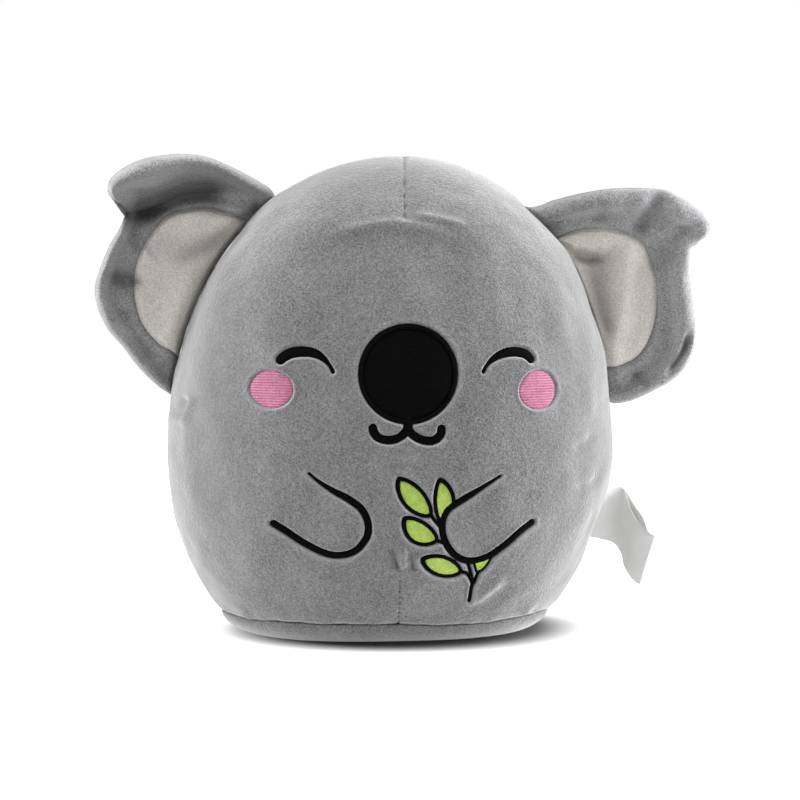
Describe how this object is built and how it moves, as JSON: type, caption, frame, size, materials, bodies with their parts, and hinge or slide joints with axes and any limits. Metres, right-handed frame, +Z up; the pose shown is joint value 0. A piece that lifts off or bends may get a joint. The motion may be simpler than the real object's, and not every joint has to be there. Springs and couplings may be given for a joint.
{
  "type": "plush koala toy",
  "caption": "Squashy egg-shaped koala soft toy with padded bowl ears sewn in the side seam, embroidered face and paws, leafy sprig and a blank folded label.",
  "frame": {"origin": "middle of the flat base, where the toy stands", "axes": "+Z up, -Y towards the viewer that the face looks at, +X to the toy's left"},
  "size_m": [0.3146, 0.1613, 0.241],
  "materials": {
    "plush": "short pile plush, matt with a soft sheen at the edges",
    "ear_plush": "short pile plush, slightly darker, matt with a soft sheen at the edges",
    "lining_plush": "short pile plush, cream",
    "black_thread": "satin stitch, low lustre",
    "pink_thread": "satin stitch, low lustre",
    "green_thread": "satin stitch, low lustre",
    "satin_ribbon": "woven satin ribbon, white, bare",
    "fibre_filling": "loose polyester fibre, white",
    "backing_fabric": "non-woven stiffener, white"
  },
  "bodies": {
    "body": {"front_panel": "plush", "back_panel": "plush", "base_panel": "plush", "body_filling": "fibre_filling", "embroidery_backing": "backing_fabric", "nose_patch": "black_thread", "nose_border": "black_thread", "mouth_stitching": "black_thread", "right_eye_stitching": "black_thread", "left_eye_stitching": "black_thread", "right_cheek_stitching": "pink_thread", "left_cheek_stitching": "pink_thread", "right_arm_outline": "black_thread", "leaf_1": "green_thread", "leaf_2": "green_thread", "leaf_3": "green_thread", "leaf_4": "green_thread", "leaf_5": "green_thread", "left_arm_and_sprig_outline": "black_thread"},
    "ear_right": {"right_ear_lining": "lining_plush", "right_ear_rim": "ear_plush", "right_ear_back": "ear_plush", "right_ear_padding": "fibre_filling"},
    "ear_left": {"left_ear_lining": "lining_plush", "left_ear_rim": "ear_plush", "left_ear_back": "ear_plush", "left_ear_padding": "fibre_filling"},
    "label": {"care_label": "satin_ribbon"}
  },
  "joints": [
    {"name": "ear_right_fold", "type": "hinge", "parent": "body", "child": "ear_right", "pos_m": [-0.094, 0.014, 0.1714], "axis": [0.4733, 0, 0.8809], "range_deg": [-40, 55], "stiffness_Nm_per_rad": 0.08},
    {"name": "ear_left_fold", "type": "hinge", "parent": "body", "child": "ear_left", "pos_m": [0.104, 0.014, 0.1713], "axis": [0.4303, 0, -0.9027], "range_deg": [-40, 55], "stiffness_Nm_per_rad": 0.08},
    {"name": "label_flap", "type": "hinge", "parent": "body", "child": "label", "pos_m": [0.1086, 0.014, 0.0593], "axis": [0.2864, 0, 0.9581], "range_deg": [-35, 75], "stiffness_Nm_per_rad": 0.002}
  ]
}
